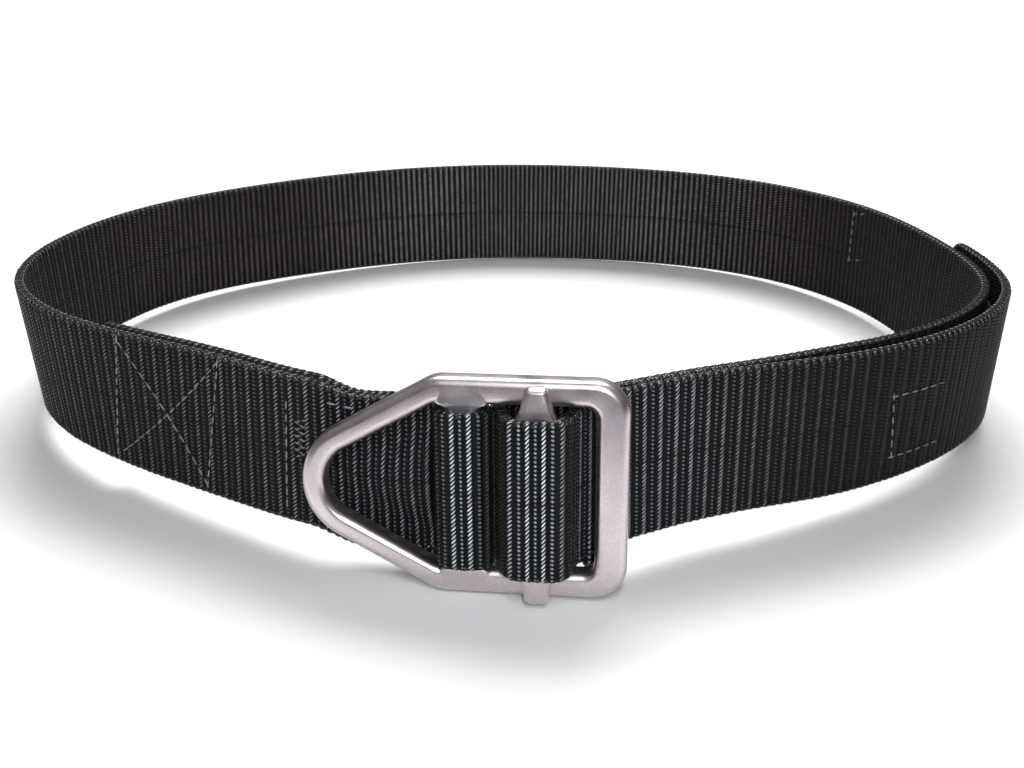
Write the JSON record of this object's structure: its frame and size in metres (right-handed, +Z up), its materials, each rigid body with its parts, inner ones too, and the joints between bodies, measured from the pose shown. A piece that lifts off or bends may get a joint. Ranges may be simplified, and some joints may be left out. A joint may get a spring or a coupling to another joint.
{
  "type": "webbing belt with delta buckle",
  "caption": "Woven webbing belt fastened in a loop: pointed metal frame buckle, loose slider bar, strap turned back on itself and a hook-and-loop tail.",
  "frame": {"origin": "centre of the bounding box in plan, on the surface that the belt stands on", "axes": "+X to the wearer's left along the longest side, -Y out of the front of the buckle, +Z up along the width of the webbing"},
  "size_m": [0.287, 0.238, 0.0524],
  "materials": {
    "webbing": "heavy woven nylon, near black",
    "buckle_metal": "satin anodised, warm silver",
    "hook_tape": "black nylon hook tape",
    "loop_tape": "black nylon loop tape"
  },
  "bodies": {
    "root": {"strap": "webbing", "buckle_frame": "buckle_metal", "slider_bar": "buckle_metal", "hook_patch": "hook_tape", "loop_patch": "loop_tape"}
  },
  "joints": []
}
